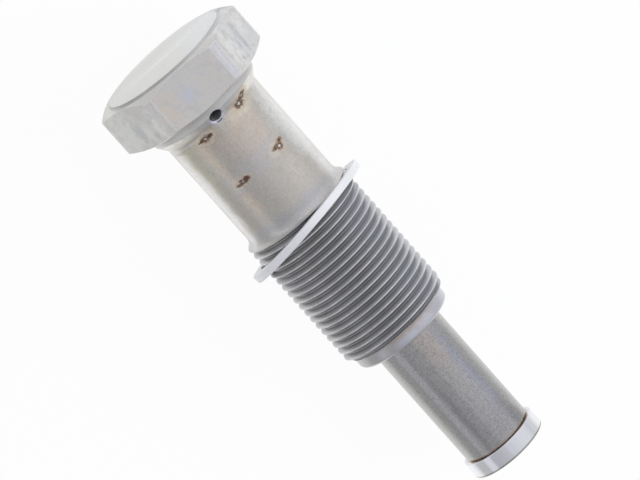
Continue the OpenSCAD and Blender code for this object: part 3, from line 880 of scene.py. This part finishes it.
def close_tree(geometry, material):
    """Ends a tree in Realize Instances and Set Material."""
    real = geometry.node("GeometryNodeRealizeInstances", sockets={0: geometry})
    sockets = {"Geometry": real, "Material": material}
    painted = real.node("GeometryNodeSetMaterial", sockets=sockets)
    exit_node = geometry.tree.nodes.new("NodeGroupOutput")
    geometry.tree.links.new(painted.socket, exit_node.inputs[0])


def run_tree(name, tree, sizes):
    """An object with the mesh that the tree makes from the sizes."""
    made = as_object(bpy.data.meshes.new(name))
    modifier = made.modifiers.new(name, "NODES")
    modifier.node_group = tree
    for item in tree.interface.items_tree:
        if item.in_out == "INPUT":
            modifier[item.identifier] = sizes[item.name]
    return applied(made)


def thread_tree():
    tree, size = new_tree("cut_thread", THREAD_SIZES)
    rows = TURNS_DRAWN * ROWS_PER_TURN
    grid_sockets = {"Size X": rows, "Size Y": COLUMNS, "Vertices X": rows + 1, "Vertices Y": COLUMNS + 1}
    grid = Wire(tree).node("GeometryNodeMeshGrid", sockets=grid_sockets)
    on_grid = grid.node("GeometryNodeInputPosition")
    row = grid.node("ShaderNodeSeparateXYZ", sockets={0: on_grid})
    column = row.also("Y")
    tooth = (row + rows / 2) / ROWS_PER_TURN
    turned = (column + COLUMNS / 2) / COLUMNS
    x = size["First Crest"] + size["Pitch"] * (tooth + turned)
    x = x.math("MINIMUM", x.math("MAXIMUM", x, size["Start"]), size["End"])
    part = tooth.math("FRACT", tooth + 1e-4) - 1e-4
    from_crest = part.math("MINIMUM", part, 1 - part)
    cut = ((from_crest - size["Half Crest"]) / (size["Root From"] - size["Half Crest"])).clamped()
    lead = ((x - size["Start"]) / size["Lead In"]).clamped()
    radius = size["Outer Radius"] - size["Depth"] * cut * lead
    first_rise = size["Start Radius"] + (x - size["Start"])
    radius = radius.math("MINIMUM", radius, first_rise)
    last_flank = size["Nose Radius"] + (size["End"] - x) * size["End Slope"]
    radius = radius.math("MINIMUM", radius, last_flank)
    angle = turned * (2 * math.pi)
    y = 0 - radius * angle.math("SINE", angle)
    z = radius * angle.math("COSINE", angle)
    wrapped = x.node("ShaderNodeCombineXYZ", sockets={0: x, 1: y, 2: z})
    moved = x.node("GeometryNodeSetPosition", sockets={"Geometry": grid, "Position": wrapped})
    sockets = {"Geometry": moved, "Distance": MERGE}
    close_tree(x.node("GeometryNodeMergeByDistance", sockets=sockets), thread_steel)
    return tree


thread_part = run_tree("thread_part", thread_tree(), THREAD_SIZES)
print("thread:", len(thread_part.data.polygons), "faces")

# %% [markdown]
# ## Joining the housing and drilling the oil hole
# The three skins share their rims, so welding them makes one closed solid. The oil hole crosses a cone,
# and its rim is not a circle, so a Boolean cut with a drill-shaped cutter does that better than any rows
# could.

# %% Join and drill the housing
HOLE_CHAMFER = 0.35
HOLE_DEPTH = 8.5
HOLE_ABOVE = 1.5


def drill():
    """A cutter with a countersink, standing square on the neck's cone at the oil hole."""
    slope = (COLLAR_RADIUS - SHANK_RADIUS) / (NECK_END - COLLAR_END)
    surface = COLLAR_RADIUS - (OIL_HOLE_X - COLLAR_END) * slope
    outline = [
        (-HOLE_DEPTH, 0),
        (-HOLE_DEPTH, OIL_HOLE_RADIUS),
        (-HOLE_CHAMFER, OIL_HOLE_RADIUS),
        (HOLE_ABOVE, OIL_HOLE_RADIUS + HOLE_CHAMFER + HOLE_ABOVE),
        (HOLE_ABOVE, 0),
    ]
    mesh = skin("drill", outline)
    stand = Matrix.Rotation(math.atan(slope) - math.pi / 2, 4, "Y")
    mesh.transform(Matrix.Translation((OIL_HOLE_X * MM, 0, surface * MM)) @ stand)
    return as_object(mesh)


def joined(name, parts):
    """One welded mesh object from several objects, which are removed."""
    work = bmesh.new()
    for part in parts:
        work.from_mesh(part.data)
        bpy.data.objects.remove(part)
    mesh = bpy.data.meshes.new(name)
    work.to_mesh(mesh)
    work.free()
    merge_doubles(mesh)
    return as_object(mesh)


housing = joined("housing_turned", [head_part, thread_part, nose_part])
cutter = drill()
boolean = housing.modifiers.new("oil hole", "BOOLEAN")
boolean.operation = "DIFFERENCE"
boolean.solver = "EXACT"
boolean.object = cutter
applied(housing)
bpy.data.objects.remove(cutter)
smooth(housing)
print("housing:", len(housing.data.polygons), "faces")

# %% [markdown]
# ## Five finishes on one piece
# Each step of the machining left its own surface on the housing, so one mesh carries five finishes. A
# face takes its finish from where its middle lies: along the axis for head, shank, thread and nose, and
# close to the axis for the bore. Faces could be picked by hand, but that is lost whenever the mesh is
# made again.

# %% Paint the housing by place
OUTSIDE_FROM = 9.2
HEAD, SHANK, THREAD, NOSE, BORE = range(5)
housing.data.materials.clear()
for finish in (head_steel, shank_steel, thread_steel, nose_steel, bore_steel):
    housing.data.materials.append(finish)


def housing_zone(x, radius):
    """Which of the five finishes a face of the housing takes, from where it lies."""
    outside = radius > OUTSIDE_FROM
    if x < CROWN_X + 0.05 or (outside and x < COLLAR_END - 0.02):
        return HEAD
    in_oil_hole = 1 < x < 6 and radius > RESERVOIR_RADIUS + 0.1
    if in_oil_hole or (outside and x < THREAD_X):
        return SHANK
    if outside and x < NOSE_X - 0.1:
        return THREAD
    if x > NOSE_X - 0.1 and radius > GUIDE_RADIUS + 0.05:
        return NOSE
    return BORE


for face in housing.data.polygons:
    x, y, z = face.center / MM
    face.material_index = housing_zone(x, math.hypot(y, z))
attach(housing, "body")
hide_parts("housing")
zones = [face.material_index for face in housing.data.polygons]
print("faces of head, shank, thread, nose and bore:", np.bincount(zones))

# %% [markdown]
# ## The sealing washer
# The loose washer hangs on the thread and leans until its hole binds. It is stamped from sheet, so its
# section is a rectangle with rounded edges. It is made upright round the axis, then leaned and moved in
# its mesh, so that the object itself stays at the origin.

# %% Washer
WASHER_X = 28.95
WASHER_HOLE = 11.3
WASHER_RADIUS = 13.4
WASHER_HALF = 0.7
WASHER_LEAN = 12.05
WASHER_LEAN_DIRECTION = 40
WASHER_ROUND = 0.12

washer_rows = [
    (-WASHER_HALF, WASHER_HOLE),
    (-WASHER_HALF, WASHER_RADIUS),
    (WASHER_HALF, WASHER_RADIUS),
    (WASHER_HALF, WASHER_HOLE),
]
washer = smooth(broken_edges(skin("washer_ring", washer_rows, closed=True), WASHER_ROUND))
lean = Matrix.Rotation(math.radians(-WASHER_LEAN), 4, "Y")
direction = Matrix.Rotation(math.radians(-WASHER_LEAN_DIRECTION), 4, "X")
washer.data.transform(Matrix.Translation((WASHER_X * MM, 0, 0)) @ direction @ lean)
washer.data.materials.clear()
washer.data.materials.append(washer_aluminium)
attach(washer, "body")
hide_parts("sealing_washer")
washer_low, washer_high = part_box("sealing_washer")
print("washer: CAD from", washer_low, "to", washer_high)

# %% [markdown]
# ## Plunger and thrust cap
# Both are plain turned pieces that slide as one. Their ends are chamfered, and the groove between them is
# what shows as a dark line. The rows repeat the CAD outline, and the rounded edges catch the light.

# %% Plunger and cap
PLUNGER_RADIUS = plunger_high.z / MM
PLUNGER_START = plunger_low.x / MM
PLUNGER_BORE = 5.3
PLUNGER_CHAMFER = 0.15
RING_X = 35.8
RING_GROOVE = 6.15
RING_GROOVE_HALF = 0.6
CAP_RADIUS = cap_high.z / MM
CAP_CHAMFER = 0.1
SPIGOT_X = cap_low.x / MM
GROOVE_RADIUS = 6.1
FINE_ROUND = 0.06

plunger_rows = [
    (PLUNGER_START, PLUNGER_BORE),
    (PLUNGER_START, PLUNGER_RADIUS - PLUNGER_CHAMFER),
    (PLUNGER_START + PLUNGER_CHAMFER, PLUNGER_RADIUS),
    (RING_X - RING_GROOVE_HALF, PLUNGER_RADIUS),
    (RING_X - RING_GROOVE_HALF, RING_GROOVE),
    (RING_X + RING_GROOVE_HALF, RING_GROOVE),
    (RING_X + RING_GROOVE_HALF, PLUNGER_RADIUS),
    (PLUNGER_END - PLUNGER_CHAMFER, PLUNGER_RADIUS),
    (PLUNGER_END, PLUNGER_RADIUS - PLUNGER_CHAMFER),
    (PLUNGER_END, PLUNGER_BORE),
]
cap_start = CAP_END - CAP_HEIGHT
cap_rows = [
    (SPIGOT_X, 0),
    (SPIGOT_X, PLUNGER_BORE - CAP_CHAMFER),
    (SPIGOT_X + CAP_CHAMFER, PLUNGER_BORE),
    (PLUNGER_END, PLUNGER_BORE),
    (PLUNGER_END, GROOVE_RADIUS),
    (cap_start, GROOVE_RADIUS),
    (cap_start, CAP_RADIUS - CAP_CHAMFER),
    (cap_start + CAP_CHAMFER, CAP_RADIUS),
    (CAP_END - CAP_CHAMFER, CAP_RADIUS),
    (CAP_END, CAP_RADIUS - CAP_CHAMFER),
    (CAP_END, 0),
]
turned_pieces = [
    ("plunger_tube", plunger_rows, True, plunger_steel, "plunger", "plunger_steel"),
    ("cap_turned", cap_rows, False, cap_steel, "thrust_cap", "cap_steel"),
]
for name, rows, closed, finish, node, slot in turned_pieces:
    piece = smooth(broken_edges(skin(name, rows, closed), FINE_ROUND))
    piece.data.materials.clear()
    piece.data.materials.append(finish)
    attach(piece, "plunger_assembly")
    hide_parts(node)
    print(name, len(piece.data.polygons), "faces")

# %% [markdown]
# ## Coil springs
# A coil is a circle carried along a helix, with one closed turn at each end to stand on. The CAD wires
# are six-sided to stay light, so Geometry Nodes draws them again as round wire: a line is bent into the
# helix point by point, and Curve to Mesh carries the circle along it. Both springs come from the same
# tree with other sizes.

# %% Build the coil's node tree
POINTS_PER_TURN = 24
WIRE_SIDES = 10
COIL_SIZES = ["Start", "Length", "Mean Radius", "Wire", "Turns"]
CLOSED_PITCH = 1.05


def coil_tree(turns):
    tree, size = new_tree("coil", COIL_SIZES)
    start = size["Start"]
    count = turns * POINTS_PER_TURN + 1
    line = start.node("GeometryNodeCurvePrimitiveLine")
    line = line.node("GeometryNodeResampleCurve", sockets={"Curve": line, "Count": count})
    index = line.node("GeometryNodeInputIndex")
    turn = index / POINTS_PER_TURN
    closed = size["Wire"] * CLOSED_PITCH
    opened = (size["Length"] - size["Wire"] - closed * 2) / (size["Turns"] - 2)
    open_turns = turn.math("MINIMUM", turn.math("MAXIMUM", turn - 1, 0.0), size["Turns"] - 2)
    rise = (turn - open_turns) * closed + open_turns * opened
    x = start + size["Wire"] / 2 + rise
    angle = turn * (2 * math.pi)
    y = size["Mean Radius"] * angle.math("SINE", angle)
    z = 0 - size["Mean Radius"] * angle.math("COSINE", angle)
    bent = x.node("ShaderNodeCombineXYZ", sockets={0: x, 1: y, 2: z})
    helix = x.node("GeometryNodeSetPosition", sockets={"Geometry": line, "Position": bent})
    sockets = {"Resolution": WIRE_SIDES, "Radius": size["Wire"] / 2}
    section = x.node("GeometryNodeCurvePrimitiveCircle", sockets=sockets)
    sockets = {"Curve": helix, "Profile Curve": section, "Fill Caps": True}
    close_tree(x.node("GeometryNodeCurveToMesh", sockets=sockets), wire_steel)
    return tree


PLUNGER_STROKE = 18
BALL_LIFT = 0.6
# name, start, length, mean radius and wire in mm, turns, joint, still end and travel in mm, node
COILS = [
    ("plunger_coil", 14.84, 57.07, 4.4, 1.3, 20, "plunger_slide", 14.84, PLUNGER_STROKE, "plunger_spring"),
    ("valve_coil", 17.28, 2.4, 1.4, 0.3, 4, "check_ball_lift", 19.68, BALL_LIFT, "valve_spring"),
]
for name, begin, length, mean_radius, wire, turns, joint, still, travel, node in COILS:
    numbers = [begin * MM, length * MM, mean_radius * MM, wire * MM, turns]
    coil = run_tree(name, coil_tree(turns), dict(zip(COIL_SIZES, numbers)))
    coil.data.shade_smooth()
    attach(coil, "body")
    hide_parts(node)
    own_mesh(coil)
    print(name, len(coil.data.polygons), "faces")

# %% [markdown]
# ## Inner pieces that keep their CAD mesh
# The ring, the seat, the ball and the cage come to light only when the tensioner is taken apart, and
# their CAD meshes already have the right form. Making them again would add faces that no view shows, so
# they keep those meshes and only get the finishes made above.

# %% Finish the inner pieces that stay as they are
INNER = {
    "retaining_ring": wire_steel,
    "valve_seat": seat_steel,
    "valve_ball": ball_steel,
    "valve_cage": cage_sheet,
}
for node, finish in INNER.items():
    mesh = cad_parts[node].data
    mesh.materials.clear()
    mesh.materials.append(finish)
print("inner pieces:", ", ".join(INNER))

# %% [markdown]
# ## The floor
# The photograph has a white ground with hardly any shadow, as on a light table. The floor shows itself as
# white to the camera, and keeps a small share of plain diffuse, so that the object's soft shadow still
# falls on it. In reflections it is white close to the object and greyer further out, which is what makes
# the round pieces fade to white along their edges.

# %% Lay the floor
FLOOR_HALF = 3.0
WHITE_TO_CAMERA = 0.96
WHITE_IN_METAL = 0.95
FAR_LEFT = 0.50
FAR_RIGHT = 0.68
BY_THE_HEAD = 0.93
NEAR_REACH = 16
FAR_REACH = 70

floor_z = cad_box[0].z
floor_mesh = bpy.data.meshes.new("floor")
corners = [(-1, -1), (1, -1), (1, 1), (-1, 1)]
floor_points = [(x * FLOOR_HALF, y * FLOOR_HALF, floor_z) for x, y in corners]
floor_mesh.from_pydata(floor_points, [], [(0, 1, 2, 3)])
floor = as_object(floor_mesh)

paper = bpy.data.materials.new("white_paper")
paper.use_nodes = True
paper.node_tree.nodes.clear()
ray = Wire(paper.node_tree).node("ShaderNodeLightPath", out="Is Camera Ray")
in_metal = (ray.also("Is Glossy Ray") + ray.also("Is Transmission Ray")).clamped()
spot = ray.node("ShaderNodeTexCoord", out="Object")
part = ray.node("ShaderNodeSeparateXYZ", sockets={0: spot})
along, aside = part / MM, part.also("Y") / MM
behind = ray.math("MAXIMUM", cad_box[0].x / MM - along, 0)
ahead = ray.math("MAXIMUM", along - cad_box[1].x / MM, 0)
past_end = behind + ahead
near = ((past_end * past_end + aside * aside) ** 0.5).ramp(FAR_REACH, NEAR_REACH)
far_level = FAR_LEFT + (FAR_RIGHT - FAR_LEFT) * aside.ramp(-30, 30)
near_level = 1 + (BY_THE_HEAD - 1) * behind.ramp(0, 3)
level = far_level + (near_level - far_level) * near
shown = ray * WHITE_TO_CAMERA + in_metal * (1 - ray) * WHITE_IN_METAL
diffuse = ray.node("ShaderNodeBsdfDiffuse", sockets={"Color": (0.75, 0.76, 0.78, 1)})
grey = (ray + (1 - ray) * level).times((1, 1, 1))
white = ray.node("ShaderNodeEmission", sockets={"Color": grey, "Strength": 1.0})
mixed = ray.node("ShaderNodeMixShader", sockets={0: shown, 1: diffuse, 2: white})
paper_exit = paper.node_tree.nodes.new("ShaderNodeOutputMaterial")
paper.node_tree.links.new(mixed.socket, paper_exit.inputs["Surface"])
floor_mesh.materials.append(paper)
print("floor at", round(floor_z / MM, 2), "mm")

# %% [markdown]
# ## The light
# Bright metal shows its surroundings, so the light is a set of panels round the object: a broad one from
# overhead to the right, a dim one left of it, a narrow bright strip low on the left, and grey beyond. All
# are a little dimmer towards the plunger's end. Area lamps could do it, but a world that changes with the
# angle round the object gives the same clean edges in one place. One soft lamp stands on the right for
# the floor's shadow; it is kept out of reflections.

# %% Hang the panels and the lamp
PANEL_TINT = (0.97, 0.98, 1.03)
LOW_LEFT = 0.50
STRIP = 0.72
DIM = 0.45
DIM_BY_TOP = 0.54
TOP = 0.65
TOP_PEAK = 0.76
LOW_RIGHT = 0.62
STRIP_FROM, STRIP_TO = -80, -58
TOP_FROM, TOP_TO = -5, 86
PEAK_AT = 52
PANEL_EDGE = 3
TOWARDS_TIP = -0.3

world = bpy.data.worlds.new("panels")
world.use_nodes = True
bpy.context.scene.world = world
background = world.node_tree.nodes["Background"]
sky = Wire(world.node_tree).node("ShaderNodeTexCoord", out="Generated")
part = sky.node("ShaderNodeSeparateXYZ", sockets={0: sky})
turned_by = part.math("ARCTAN2", part.also("Y"), part.also("Z"))


def panel_edge(degrees):
    """Rises from 0 to 1 where the angle round the object passes a panel's edge."""
    return turned_by.ramp(math.radians(degrees - PANEL_EDGE), math.radians(degrees + PANEL_EDGE))


peak = turned_by.ramp(math.radians(TOP_FROM), math.radians(PEAK_AT))
peak = peak * turned_by.ramp(math.radians(TOP_TO + 10), math.radians(PEAK_AT))
top = TOP + (TOP_PEAK - TOP) * peak
dim = DIM + (DIM_BY_TOP - DIM) * turned_by.ramp(math.radians(STRIP_TO), math.radians(TOP_FROM))
level = LOW_LEFT + (STRIP - LOW_LEFT) * panel_edge(STRIP_FROM) + (dim - STRIP) * panel_edge(STRIP_TO)
level = level + (top - dim) * panel_edge(TOP_FROM) + (LOW_RIGHT - top) * panel_edge(TOP_TO)
level = level * (1 + TOWARDS_TIP * (part - lean_sin))
panels = level.times(PANEL_TINT)
world.node_tree.links.new(panels.socket, background.inputs["Color"])

LAMP_SIZE = 0.5
LAMP_WATTS = 3.4
LAMP_PLACE = Vector((0.3, 0.55, 0.4))
lamp_data = bpy.data.lights.new("soft_lamp", "AREA")
lamp_data.size = LAMP_SIZE
lamp_data.energy = LAMP_WATTS
lamp = bpy.data.objects.new("soft_lamp", lamp_data)
lamp.location = LAMP_PLACE
lamp.rotation_euler = (-LAMP_PLACE).to_track_quat("-Z", "Y").to_euler()
lamp.visible_glossy = False
bpy.context.scene.collection.objects.link(lamp)
bpy.context.scene.view_settings.view_transform = "Standard"
print("light: five panels and one lamp of", LAMP_WATTS, "W")
